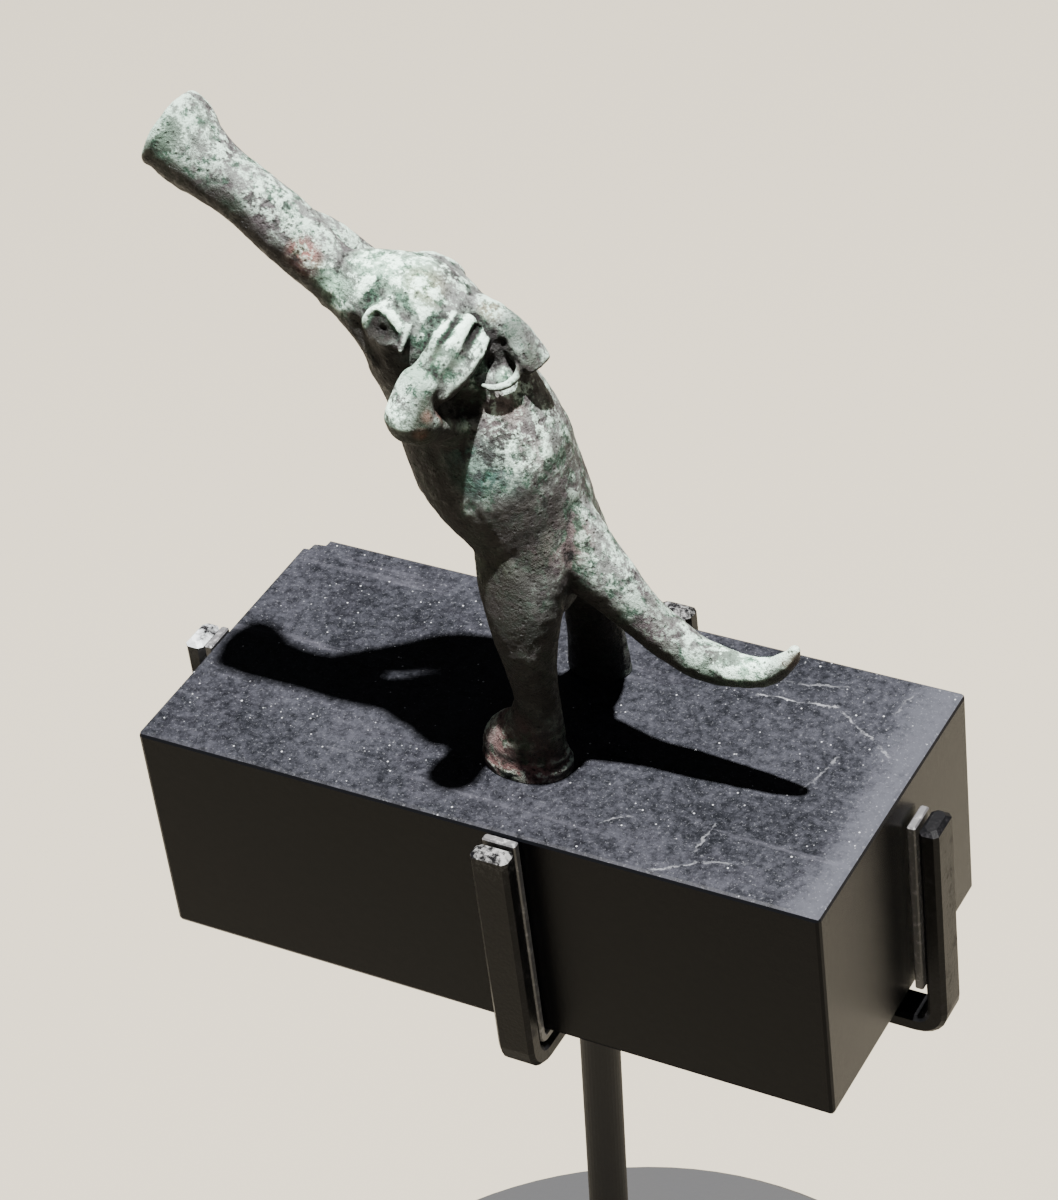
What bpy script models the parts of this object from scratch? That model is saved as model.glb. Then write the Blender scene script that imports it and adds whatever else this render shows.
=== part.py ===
"""A small bronze mouse blowing a trumpet, on its black stone block in a four-clip stand.

The stand is built up from the floor: a round foot plate, a rod, and a cradle of flat strips
whose four upright clips hold the block by its sides. The mouse stands on the block on its
hind legs and faces -X. All sizes are in metres, and +Z is up.
"""

import math

import bmesh
import bpy
from mathutils import Matrix, Vector

# Driving dimensions of the stand
PLATE_DIAMETER = 0.060
PLATE_THICKNESS = 0.005
PLATE_EDGE_BEVEL = 0.0008
ROD_DIAMETER = 0.0029
ROD_VISIBLE_LENGTH = 0.055
ROD_LEAN_DEGREES = 3.5
ROD_SOCKET_DEPTH = 0.003
STRIP_WIDTH = 0.0027
STRIP_THICKNESS = 0.0014
STRIP_CORNER_BEVEL = 0.0003
STRIP_BEND_RADIUS = 0.0016
LINING_THICKNESS = 0.0006
LINING_WIDTH = 0.0024
LINING_CORNER_BEVEL = 0.0001
LINING_BEND_RADIUS = 0.0005
LINING_FOLD_UNDER = 0.0055
HUB_DIAMETER = 0.010
HUB_THICKNESS = 0.0020
HUB_EDGE_BEVEL = 0.0002
SOLDER_OVERLAP = 0.0001
CLEARANCE = 0.0003
LINING_CLEARANCE = 0.0002

# Driving dimensions of the block
BLOCK_LENGTH = 0.0500
BLOCK_DEPTH = 0.0233
BLOCK_HEIGHT = 0.0171
BLOCK_EDGE_BEVEL = 0.0003
BLOCK_CHIP_RADIUS = 0.0013
BLOCK_CHIP_INSET = 0.0004

# The block's centre is measured from the hub of the cradle, and the clips from that centre.
# A drop is how far a clip's end stays below the block's top.
BLOCK_FROM_HUB_X = -0.0010
BLOCK_FROM_HUB_Y = -0.0007
FRONT_CLIP_X = 0.0030
FRONT_CLIP_DROP = 0.0001
BACK_CLIP_DROP = 0.0001
LEFT_CLIP_Y = -0.0007
LEFT_CLIP_DROP = 0.0001
RIGHT_CLIP_Y = 0.0022
RIGHT_CLIP_DROP = 0.0028

# The figure is drawn on a grid of its own, 43.4 steps high from the soles to the bell
FIGURE_HEIGHT = 0.0434
GRID_HEIGHT = 43.4
STEP = FIGURE_HEIGHT / GRID_HEIGHT

# How finely the casting's skin is made, in grid steps where it is a length
LIMB_SIDES = 20
RINGS_BETWEEN_STATIONS = 4
SKIN_VOXEL = 0.27
SKIN_SMOOTH_ROUNDS = 2
SKIN_TRIANGLE_SHARE = 0.105

# Levels, from the floor up
HUB_BOTTOM = PLATE_THICKNESS + ROD_VISIBLE_LENGTH
HUB_TOP = HUB_BOTTOM + HUB_THICKNESS
ARM_MIDDLE = HUB_BOTTOM + HUB_THICKNESS / 2
SHORT_STRIP_BOTTOM = HUB_TOP - SOLDER_OVERLAP
SHORT_STRIP_TOP = SHORT_STRIP_BOTTOM + STRIP_THICKNESS
SHORT_STRIP_MIDDLE = SHORT_STRIP_BOTTOM + STRIP_THICKNESS / 2
LINING_FLOOR = SHORT_STRIP_TOP + LINING_CLEARANCE + LINING_THICKNESS / 2
BLOCK_BOTTOM = SHORT_STRIP_TOP + LINING_THICKNESS + 2 * LINING_CLEARANCE
BLOCK_TOP = BLOCK_BOTTOM + BLOCK_HEIGHT
FIGURE_BASE = BLOCK_TOP + CLEARANCE

# The rod leans in X, so the hub and the block stand off the foot plate's centre
ROD_SLOPE = math.tan(math.radians(ROD_LEAN_DEGREES))
HUB_X = ROD_VISIBLE_LENGTH * ROD_SLOPE
BLOCK_X = HUB_X + BLOCK_FROM_HUB_X
BLOCK_Y = BLOCK_FROM_HUB_Y
FRONT_STRIP_X = BLOCK_X + FRONT_CLIP_X
GAP_AT_SIDES = LINING_THICKNESS + 2 * LINING_CLEARANCE
STRIP_OUT = GAP_AT_SIDES + STRIP_THICKNESS / 2
LINING_OUT = LINING_CLEARANCE + LINING_THICKNESS / 2


def clear_scene():
    for existing in list(bpy.data.objects):
        bpy.data.objects.remove(existing, do_unlink=True)


def make_material(name, colour, roughness, metallic):
    material = bpy.data.materials.new(name)
    material.use_nodes = True
    shader = material.node_tree.nodes["Principled BSDF"]
    shader.inputs["Base Color"].default_value = (*colour, 1.0)
    shader.inputs["Roughness"].default_value = roughness
    shader.inputs["Metallic"].default_value = metallic
    return material


def add_object(name, mesh_data, material):
    obj = bpy.data.objects.new(name, mesh_data)
    bpy.context.scene.collection.objects.link(obj)
    if material is not None:
        mesh_data.materials.append(material)
    return obj


def hide_helper(obj):
    obj.hide_render = True
    obj.display_type = "WIRE"
    return obj


def mesh_from(name, bm):
    bmesh.ops.recalc_face_normals(bm, faces=bm.faces)
    mesh_data = bpy.data.meshes.new(name)
    bm.to_mesh(mesh_data)
    bm.free()
    return mesh_data


def shade_round(obj, sharp_degrees=35.0):
    obj.data.shade_smooth()
    obj.data.set_sharp_from_angle(angle=math.radians(sharp_degrees))


# The casting: rings of points joined into closed limbs

def smooth_between(before, start, end, after, share):
    """Catmull-Rom value between start and end, for numbers or vectors."""
    square = share * share
    cube = square * share
    return 0.5 * (2 * start + (end - before) * share
                  + (2 * before - 5 * start + 4 * end - after) * square
                  + (3 * start - before - 3 * end + after) * cube)


def refine(stations):
    """Stations are (centre, half depth, half width); returns them with rings in between."""
    refined = []
    last = len(stations) - 1
    for index in range(last):
        around = [stations[max(index - 1, 0)], stations[index],
                  stations[index + 1], stations[min(index + 2, last)]]
        for ring in range(RINGS_BETWEEN_STATIONS):
            share = ring / RINGS_BETWEEN_STATIONS
            refined.append(tuple(smooth_between(*[station[part] for station in around], share)
                                 for part in range(3)))
    refined.append(stations[last])
    return refined


def ring_of(bm, centre, along, half_depth, half_width, level=None, sides=LIMB_SIDES):
    """An elliptical ring across a limb: its width lies level, its depth square to that."""
    along = along.normalized()
    if level is None:
        level = Vector((0, 1, 0)) if abs(along.y) < STEEPEST_SIDEWAYS else Vector((1, 0, 0))
    across = (level - along * level.dot(along)).normalized()
    upward = across.cross(along)
    ring = []
    for side in range(sides):
        angle = 2 * math.pi * side / sides
        offset = across * half_width * math.cos(angle) + upward * half_depth * math.sin(angle)
        ring.append(bm.verts.new(centre + offset))
    return ring


def join_rings(bm, rings):
    """Bridge the rings in order and close both ends."""
    sides = len(rings[0])
    for lower, upper in zip(rings, rings[1:]):
        for side in range(sides):
            after = (side + 1) % sides
            bm.faces.new((lower[side], lower[after], upper[after], upper[side]))
    bm.faces.new(list(reversed(rings[0])))
    bm.faces.new(rings[-1])


def add_limb(bm, points, rounded_start=False, rounded_end=False, level=None):
    """A limb through points (x, y, z, half depth, half width) given in grid steps."""
    stations = refine([(Vector(point[:3]), point[3], point[4]) for point in points])
    centres = [station[0] for station in stations]
    last = len(stations) - 1
    rings = []
    if rounded_start:
        rings += cap_rings(bm, stations[0], centres[0] - centres[1], closing=False)
    for index, (centre, half_depth, half_width) in enumerate(stations):
        along = centres[min(index + 1, last)] - centres[max(index - 1, 0)]
        rings.append(ring_of(bm, centre, along, half_depth, half_width, level))
    if rounded_end:
        rings += cap_rings(bm, stations[last], centres[last] - centres[last - 1], closing=True)
    join_rings(bm, rings)


def cap_rings(bm, station, outward, closing, cap_steps=4):
    """Rings that round off the end of a limb."""
    centre, half_depth, half_width = station
    outward = outward.normalized()
    reach = min(half_depth, half_width)
    rings = []
    for cap_step in range(1, cap_steps + 1):
        angle = 0.5 * math.pi * cap_step / (cap_steps + 0.4)
        rings.append(ring_of(bm, centre + outward * reach * math.sin(angle),
                             outward if closing else -outward,
                             half_depth * math.cos(angle), half_width * math.cos(angle)))
    return rings if closing else list(reversed(rings))


BODY = [
    (1.9, -0.5, 11.2, 1.8, 2.8),
    (2.0, -0.6, 13.2, 2.8, 4.1),
    (1.9, -0.8, 15.6, 3.5, 4.5),
    (1.05, -0.9, 18.0, 4.2, 4.8),
    (-0.45, -1.0, 20.8, 5.3, 4.9),
    (-1.6, -0.9, 23.6, 5.4, 4.4),
    (-2.7, -0.9, 26.4, 5.0, 3.9),
    (-3.9, -1.05, 29.0, 4.5, 4.1),
    (-5.3, -1.3, 31.0, 3.9, 4.1),
    (-7.4, -1.6, 32.2, 3.0, 3.0),
    (-9.4, -1.9, 33.0, 2.2, 1.8),
]

TRUMPET = [
    (-8.4, -1.7, 32.2, 1.9, 1.8),
    (-10.0, -2.0, 33.5, 2.0, 1.65),
    (-11.6, -2.0, 34.9, 2.1, 1.8),
    (-13.2, -1.85, 36.1, 2.1, 2.0),
    (-15.2, -1.75, 37.6, 1.95, 1.95),
    (-17.4, -1.7, 38.9, 2.05, 2.0),
    (-19.2, -1.5, 40.0, 2.5, 2.3),
    (-20.3, -1.05, 40.7, 2.7, 2.65),
    (-20.9, -0.9, 41.0, 2.75, 2.75),
]

TAIL = [
    (2.7, -1.0, 17.0, 3.1, 2.5),
    (4.9, -1.05, 14.8, 2.5, 2.2),
    (6.7, -1.1, 13.2, 2.0, 1.8),
    (8.8, -1.15, 11.2, 1.6, 1.4),
    (10.8, -1.15, 9.7, 1.5, 1.35),
    (12.8, -1.15, 8.8, 1.4, 1.25),
    (15.4, -1.15, 8.6, 1.15, 1.05),
    (17.5, -1.15, 9.2, 0.9, 0.85),
    (18.9, -1.1, 10.5, 0.6, 0.6),
    (19.3, -1.1, 11.3, 0.4, 0.4),
]

NEAR_LEG = [
    (1.4, -2.2, 18.6, 3.2, 2.7),
    (1.8, -2.9, 16.6, 3.3, 2.6),
    (2.0, -3.7, 14.8, 3.2, 2.4),
    (2.2, -4.5, 12.6, 2.7, 2.15),
    (2.4, -4.95, 10.0, 2.05, 1.85),
    (2.65, -5.1, 6.6, 1.5, 1.4),
    (2.6, -5.1, 5.0, 1.6, 1.45),
    (2.15, -5.0, 3.1, 2.15, 1.65),
    (1.3, -4.85, 1.3, 3.0, 1.9),
    (1.2, -4.8, 0.0, 3.2, 2.1),
    (1.2, -4.8, -1.0, 3.2, 2.1),
]

FAR_LEG = [
    (1.5, 1.6, 15.6, 3.0, 2.6),
    (1.7, 3.2, 12.4, 2.5, 2.2),
    (1.6, 4.6, 8.4, 2.0, 1.8),
    (1.3, 5.2, 4.6, 1.9, 1.6),
    (1.2, 5.5, 2.0, 2.1, 1.6),
    (1.1, 5.7, 0.0, 2.3, 1.6),
    (1.1, 5.7, -1.0, 2.3, 1.6),
]

NEAR_ARM = [
    (-1.3, -3.2, 25.0, 2.0, 1.8),
    (-1.7, -5.3, 26.6, 1.5, 1.5),
    (-2.0, -7.5, 28.1, 1.65, 1.7),
    (-1.8, -7.0, 29.5, 1.45, 1.3),
    (-1.5, -6.0, 30.4, 1.6, 1.0),
    (-1.2, -4.8, 31.2, 1.5, 0.7),
]

FAR_ARM = [
    (-2.2, 2.4, 26.0, 2.4, 2.0),
    (-4.6, 4.0, 26.0, 2.0, 1.8),
    (-7.0, 4.1, 27.0, 1.7, 1.6),
    (-8.8, 3.1, 28.6, 1.9, 1.9),
    (-10.4, 1.9, 31.0, 1.6, 1.7),
    (-12.0, 0.9, 33.5, 1.5, 1.5),
    (-13.8, -0.4, 35.3, 1.4, 1.4),
]


# Relief on the head, as closed lumps sunk into it: (x, y, z, half depth, half width)
CREST = [
    (-2.2, -0.3, 31.8, 0.5, 0.8),
    (-0.9, -0.3, 31.75, 0.75, 1.0),
    (0.7, -0.35, 30.95, 0.85, 1.1),
    (1.8, -0.4, 30.0, 0.85, 1.15),
    (2.6, -0.5, 29.1, 0.8, 1.15),
    (3.05, -0.55, 28.45, 0.75, 1.1),
]

# The crest's width slopes down towards the near side
CREST_LEVEL = Vector((0, 1, 0.4))

PALM = [
    (-0.9, -2.8, 31.8, 1.3, 0.4),
    (-1.2, -4.2, 31.05, 1.6, 0.45),
    (-1.4, -5.5, 30.0, 1.6, 0.55),
]

FINGERS = [
    [(-1.5, -2.2, 32.8, 0.4, 0.4), (-1.6, -3.2, 32.45, 0.55, 0.45), (-1.8, -4.4, 31.7, 0.6, 0.5),
     (-2.2, -5.3, 30.8, 0.7, 0.5)],
    [(-0.7, -1.8, 32.2, 0.6, 0.45), (-0.7, -3.2, 31.7, 0.8, 0.5), (-1.1, -4.8, 30.8, 0.85, 0.55),
     (-1.8, -5.8, 29.8, 0.8, 0.6)],
    [(0.45, -2.2, 30.9, 0.6, 0.45), (0.1, -3.4, 30.4, 0.8, 0.5), (-0.5, -5.0, 29.5, 0.85, 0.6),
     (-1.2, -5.9, 28.8, 0.7, 0.6)],
]

CHEEK_RIDGE = [
    (-3.2, -4.5, 32.7, 0.3, 0.3),
    (-3.3, -5.2, 32.1, 0.38, 0.38),
    (-3.4, -5.7, 31.4, 0.38, 0.38),
]

EAR_RIM = [
    (0.95, -3.5, 28.7, 0.22, 0.22),
    (1.4, -3.4, 28.4, 0.32, 0.32),
    (2.0, -2.8, 28.35, 0.34, 0.34),
    (2.35, -2.1, 28.6, 0.34, 0.34),
    (2.35, -1.5, 29.1, 0.34, 0.34),
    (2.0, -1.1, 29.7, 0.3, 0.3),
]

# Rings are (centre, first half axis, second half axis, thickness), in grid steps
EYE_LID = ((-4.9, -4.75, 32.4), (1.5, -0.1, 0.1), (-0.3, 0.68, 1.3), 0.36)
EYE_BALL = ((-4.85, -4.35, 32.3), 0.95)
BELL_LIP = ((-21.0, -0.9, 41.1), (0.0, 2.35, 0.0), (1.2, 0.0, 2.05), 0.45)

# Creases pressed up round the near foot, as flat rings that follow its sole
TOE_CREASES = [
    ((1.2, -4.75, 0.45), (3.05, 0.0, 0.0), (0.0, 1.95, 0.0), 0.32),
    ((1.35, -4.8, 1.35), (2.75, 0.0, 0.0), (0.0, 1.7, 0.0), 0.28),
]

# A limb whose run is more sideways than this takes its width along X
STEEPEST_SIDEWAYS = 0.9

RING_STEPS = 20
RING_TUBE_SIDES = 8
SOLE_CUT_SIDE = 16
SOLE_CUT_DEPTH = 3


def add_loop(bm, centre, first_axis, second_axis, thickness):
    """A closed ring of round section round an ellipse."""
    middle = Vector(centre)
    first = Vector(first_axis)
    second = Vector(second_axis)
    normal = first.cross(second).normalized()
    rings = []
    for index in range(RING_STEPS):
        angle = 2 * math.pi * index / RING_STEPS
        outward = first * math.cos(angle) + second * math.sin(angle)
        direction = outward.normalized()
        ring = []
        for side in range(RING_TUBE_SIDES):
            turn = 2 * math.pi * side / RING_TUBE_SIDES
            offset = direction * math.cos(turn) + normal * math.sin(turn)
            ring.append(bm.verts.new(middle + outward + offset * thickness))
        rings.append(ring)
    for index, ring in enumerate(rings):
        following = rings[(index + 1) % RING_STEPS]
        for side in range(RING_TUBE_SIDES):
            after = (side + 1) % RING_TUBE_SIDES
            bm.faces.new((ring[side], ring[after], following[after], following[side]))


def add_ball(bm, centre, radius):
    bmesh.ops.create_icosphere(bm, subdivisions=2, radius=radius,
                               matrix=Matrix.Translation(Vector(centre)))


def make_sole_cutter():
    """A hidden box whose top face makes the soles flat."""
    half = SOLE_CUT_SIDE * STEP / 2
    depth = SOLE_CUT_DEPTH * STEP
    bm = bmesh.new()
    bmesh.ops.create_cube(bm, size=1, matrix=Matrix.Translation((0, 0, -depth / 2))
                          @ Matrix.Diagonal((2 * half, 2 * half, depth, 1)))
    cutter = add_object("sole_cutter", mesh_from("sole_cutter", bm), None)
    cutter.location = (BLOCK_X, BLOCK_Y, FIGURE_BASE)
    return hide_helper(cutter)


def make_mouse(material):
    bm = bmesh.new()
    add_limb(bm, BODY, rounded_start=True, rounded_end=True)
    add_limb(bm, TRUMPET)
    add_limb(bm, TAIL, rounded_start=True, rounded_end=True)
    add_limb(bm, NEAR_LEG, rounded_start=True)
    add_limb(bm, FAR_LEG, rounded_start=True)
    add_limb(bm, NEAR_ARM, rounded_start=True, rounded_end=True)
    add_limb(bm, FAR_ARM, rounded_start=True, rounded_end=True)
    add_limb(bm, CREST, level=CREST_LEVEL)
    for lump in [CHEEK_RIDGE, EAR_RIM, PALM] + FINGERS:
        add_limb(bm, lump, rounded_start=True, rounded_end=True)
    for loop in [EYE_LID, BELL_LIP] + TOE_CREASES:
        add_loop(bm, *loop)
    add_ball(bm, *EYE_BALL)
    mouse = add_object("mouse", mesh_from("mouse", bm), material)
    skin = mouse.modifiers.new("skin", "REMESH")
    skin.mode = "VOXEL"
    skin.voxel_size = SKIN_VOXEL
    soften = mouse.modifiers.new("soften", "SMOOTH")
    soften.factor = 0.5
    soften.iterations = SKIN_SMOOTH_ROUNDS
    thin = mouse.modifiers.new("thin", "DECIMATE")
    thin.ratio = SKIN_TRIANGLE_SHARE
    flatten = mouse.modifiers.new("flatten soles", "BOOLEAN")
    flatten.operation = "DIFFERENCE"
    flatten.solver = "EXACT"
    flatten.object = make_sole_cutter()
    mouse.scale = (STEP, STEP, STEP)
    mouse.location = (BLOCK_X, BLOCK_Y, FIGURE_BASE)
    for polygon in mouse.data.polygons:
        polygon.use_smooth = True
    return mouse


# The stone block and its stand

def make_block(material):
    bm = bmesh.new()
    middle = Vector((BLOCK_X, BLOCK_Y, (BLOCK_BOTTOM + BLOCK_TOP) / 2))
    bmesh.ops.create_cube(bm, size=1, matrix=Matrix.Translation(middle)
                          @ Matrix.Diagonal((BLOCK_LENGTH, BLOCK_DEPTH, BLOCK_HEIGHT, 1)))
    bmesh.ops.bevel(bm, geom=list(bm.edges), offset=BLOCK_EDGE_BEVEL, segments=2,
                    affect="EDGES", profile=0.5)
    block = add_object("block", mesh_from("block", bm), material)
    chip = bmesh.new()
    corner = Vector((BLOCK_X - BLOCK_LENGTH / 2 + BLOCK_CHIP_INSET,
                     BLOCK_Y + BLOCK_DEPTH / 2 - BLOCK_CHIP_INSET,
                     BLOCK_TOP + BLOCK_CHIP_INSET))
    bmesh.ops.create_icosphere(chip, subdivisions=2, radius=BLOCK_CHIP_RADIUS,
                               matrix=Matrix.Translation(corner))
    cutter = add_object("block_chip_cutter", mesh_from("block_chip_cutter", chip), None)
    cut = block.modifiers.new("chipped corner", "BOOLEAN")
    cut.operation = "DIFFERENCE"
    cut.solver = "EXACT"
    cut.object = hide_helper(cutter)
    return block


def turned_outline(name, profile, sides, lean=0.0):
    """A round piece from (radius, height) pairs, closed at both ends; lean shears it in X."""
    bm = bmesh.new()
    rings = []
    for radius, height in profile:
        ring = []
        for side in range(sides):
            angle = 2 * math.pi * side / sides
            ring.append(bm.verts.new((radius * math.cos(angle) + height * lean,
                                      radius * math.sin(angle), height)))
        rings.append(ring)
    join_rings(bm, rings)
    return mesh_from(name, bm)


def bent_path(stretches, bend_radius, steps=6):
    """Points along straight stretches whose corners are rounded, in a plane (out, up)."""
    path = [Vector(stretches[0])]
    for before, corner, after in zip(stretches, stretches[1:], stretches[2:]):
        corner = Vector(corner)
        incoming = (corner - Vector(before)).normalized()
        outgoing = (Vector(after) - corner).normalized()
        start = corner - incoming * bend_radius
        centre = start + outgoing * bend_radius
        for index in range(steps + 1):
            angle = 0.5 * math.pi * index / steps
            path.append(centre - outgoing * bend_radius * math.cos(angle)
                        + incoming * bend_radius * math.sin(angle))
    path.append(Vector(stretches[-1]))
    return path


STRIP_CORNERS = [
    (1, -1, True), (1, 1, True), (1, 1, False), (-1, 1, False),
    (-1, 1, True), (-1, -1, True), (-1, -1, False), (1, -1, False),
]


def strip_mesh(name, path, place, width, thickness, bevel):
    """A flat strip with bevelled corners and ends; place turns (out, up, aside) into X, Y, Z."""
    bm = bmesh.new()
    last = len(path) - 1
    rings = []
    for index, point in enumerate(path):
        along = (path[min(index + 1, last)] - path[max(index - 1, 0)]).normalized()
        normal = Vector((-along.y, along.x))
        insets = [0.0]
        if index == 0:
            insets = [bevel, 0.0]
        elif index == last:
            insets = [0.0, bevel]
        for inset in insets:
            shift = 0.0 if inset > 0 or index not in (0, last) else bevel
            middle = point + along * (shift if index == 0 else -shift)
            half_wide = width / 2 - inset
            half_thick = thickness / 2 - inset
            ring = []
            for aside, outward, on_edge in STRIP_CORNERS:
                wide = half_wide - (0.0 if on_edge else bevel)
                thick = half_thick - (bevel if on_edge else 0.0)
                spot = middle + normal * thick * outward
                ring.append(bm.verts.new(place(spot.x, spot.y, wide * aside)))
            rings.append(ring)
    join_rings(bm, rings)
    return mesh_from(name, bm)


def make_cradle(material):
    """Two crossing strips on a round hub, soldered into one piece."""
    hub = [(HUB_DIAMETER / 2 - HUB_EDGE_BEVEL, 0.0),
           (HUB_DIAMETER / 2, HUB_EDGE_BEVEL),
           (HUB_DIAMETER / 2, HUB_THICKNESS - HUB_EDGE_BEVEL),
           (HUB_DIAMETER / 2 - HUB_EDGE_BEVEL, HUB_THICKNESS)]
    cradle = add_object("cradle", turned_outline("cradle", hub, 40), material)
    cradle.data.transform(Matrix.Translation((HUB_X, 0, HUB_BOTTOM)))
    far_out = BLOCK_DEPTH / 2 + STRIP_OUT
    side_out = BLOCK_LENGTH / 2 + STRIP_OUT
    across = bent_path([(-far_out, BLOCK_TOP - FRONT_CLIP_DROP), (-far_out, SHORT_STRIP_MIDDLE),
                        (far_out, SHORT_STRIP_MIDDLE), (far_out, BLOCK_TOP - BACK_CLIP_DROP)],
                       STRIP_BEND_RADIUS)
    left = bent_path([(0.1 * HUB_DIAMETER, ARM_MIDDLE), (side_out, ARM_MIDDLE),
                      (side_out, BLOCK_TOP - LEFT_CLIP_DROP)], STRIP_BEND_RADIUS)
    right = bent_path([(0.2 * HUB_DIAMETER, ARM_MIDDLE), (side_out, ARM_MIDDLE),
                       (side_out, BLOCK_TOP - RIGHT_CLIP_DROP)], STRIP_BEND_RADIUS)
    strips = [
        ("cradle_across", across,
         lambda out, up, aside: (FRONT_STRIP_X + aside, BLOCK_Y + out, up)),
        ("cradle_left_arm", left,
         lambda out, up, aside: (BLOCK_X - out, BLOCK_Y + LEFT_CLIP_Y + aside, up)),
        ("cradle_right_arm", right,
         lambda out, up, aside: (BLOCK_X + out, BLOCK_Y + RIGHT_CLIP_Y + aside, up)),
    ]
    for name, path, place in strips:
        data = strip_mesh(name, path, place, STRIP_WIDTH, STRIP_THICKNESS, STRIP_CORNER_BEVEL)
        solder = cradle.modifiers.new("solder " + name, "BOOLEAN")
        solder.operation = "UNION"
        solder.solver = "EXACT"
        solder.object = hide_helper(add_object(name, data, None))
    return cradle


def make_linings(material):
    """Thin linings between the strips and the stone; two of them fold in under the block."""
    near = BLOCK_DEPTH / 2 + LINING_OUT
    aside_out = BLOCK_LENGTH / 2 + LINING_OUT
    fold = BLOCK_DEPTH / 2 - LINING_FOLD_UNDER
    front = [(near, BLOCK_TOP - FRONT_CLIP_DROP), (near, LINING_FLOOR), (fold, LINING_FLOOR)]
    back = [(near, BLOCK_TOP - BACK_CLIP_DROP), (near, LINING_FLOOR), (fold, LINING_FLOOR)]
    left = [(aside_out, BLOCK_TOP - LEFT_CLIP_DROP), (aside_out, BLOCK_BOTTOM)]
    right = [(aside_out, BLOCK_TOP - RIGHT_CLIP_DROP), (aside_out, BLOCK_BOTTOM)]
    linings = [
        ("lining_front", front, lambda out, up, aside: (FRONT_STRIP_X + aside, BLOCK_Y - out, up)),
        ("lining_back", back, lambda out, up, aside: (FRONT_STRIP_X + aside, BLOCK_Y + out, up)),
        ("lining_left", left,
         lambda out, up, aside: (BLOCK_X - out, BLOCK_Y + LEFT_CLIP_Y + aside, up)),
        ("lining_right", right,
         lambda out, up, aside: (BLOCK_X + out, BLOCK_Y + RIGHT_CLIP_Y + aside, up)),
    ]
    for name, corners, place in linings:
        path = bent_path(corners, LINING_BEND_RADIUS)
        data = strip_mesh(name, path, place, LINING_WIDTH, LINING_THICKNESS, LINING_CORNER_BEVEL)
        add_object(name, data, material)


def make_rod(material):
    radius = ROD_DIAMETER / 2
    bottom = PLATE_THICKNESS - ROD_SOCKET_DEPTH
    top = HUB_BOTTOM - CLEARANCE
    profile = [(radius, 0.0), (radius, top - bottom)]
    rod = add_object("rod", turned_outline("rod", profile, 32, lean=ROD_SLOPE), material)
    rod.data.transform(Matrix.Translation(((bottom - PLATE_THICKNESS) * ROD_SLOPE, 0, bottom)))
    shade_round(rod)


def make_foot_plate(material):
    radius = PLATE_DIAMETER / 2
    profile = [(radius - PLATE_EDGE_BEVEL, 0.0), (radius, PLATE_EDGE_BEVEL),
               (radius, PLATE_THICKNESS - PLATE_EDGE_BEVEL),
               (radius - PLATE_EDGE_BEVEL, PLATE_THICKNESS)]
    plate = add_object("foot_plate", turned_outline("foot_plate", profile, 96), material)
    shade_round(plate)
    hole = ROD_DIAMETER / 2 + CLEARANCE
    depth = ROD_SOCKET_DEPTH + CLEARANCE
    socket = turned_outline("socket_cutter", [(hole, 0.0), (hole, 2 * depth)], 32, lean=ROD_SLOPE)
    socket.transform(Matrix.Translation((-depth * ROD_SLOPE, 0, PLATE_THICKNESS - depth)))
    drill = plate.modifiers.new("socket for the rod", "BOOLEAN")
    drill.operation = "DIFFERENCE"
    drill.solver = "EXACT"
    drill.object = hide_helper(add_object("socket_cutter", socket, None))


def build():
    clear_scene()
    bronze = make_material("patinated_bronze", (0.42, 0.50, 0.43), 0.55, 0.6)
    stone = make_material("black_stone", (0.035, 0.035, 0.042), 0.35, 0.0)
    strip_metal = make_material("blackened_strip", (0.030, 0.028, 0.032), 0.45, 0.2)
    lining = make_material("pale_lining", (0.55, 0.53, 0.52), 0.6, 0.0)
    painted = make_material("grey_painted_steel", (0.13, 0.125, 0.12), 0.6, 0.0)
    make_foot_plate(painted)
    make_rod(painted)
    make_cradle(strip_metal)
    make_linings(lining)
    make_block(stone)
    make_mouse(bronze)


build()
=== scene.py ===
"""A patinated bronze mouse with a trumpet, on a dusty stone block in a clip stand.

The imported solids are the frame. The stone, the clips, the linings, the rod and the foot plate
keep their solids and get their finishes here. The mouse is modelled again with a finer skin.
The figure is drawn on a grid of its own, a thousandth of a metre to a step, with its zero at
the middle of the block's top.
"""

import math

import bmesh
import bpy
import numpy as np
from mathutils import Matrix, Vector


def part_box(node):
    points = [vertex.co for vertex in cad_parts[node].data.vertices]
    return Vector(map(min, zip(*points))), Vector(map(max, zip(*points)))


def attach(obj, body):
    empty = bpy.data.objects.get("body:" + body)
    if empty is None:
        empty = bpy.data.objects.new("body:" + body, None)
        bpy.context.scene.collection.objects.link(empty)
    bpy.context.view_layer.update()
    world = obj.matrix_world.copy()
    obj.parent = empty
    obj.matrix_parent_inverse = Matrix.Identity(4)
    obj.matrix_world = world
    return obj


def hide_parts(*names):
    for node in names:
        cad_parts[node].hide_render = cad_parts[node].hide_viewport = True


bl_info = {
    "name": "Bronze Mouse on a Stand",
    "version": (1, 0),
    "blender": (4, 5, 0),
    "location": "View3D > Sidebar > Figurine",
    "description": "Builds a small bronze mouse with a trumpet on its stone block and stand",
    "category": "Add Mesh",
}

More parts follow.
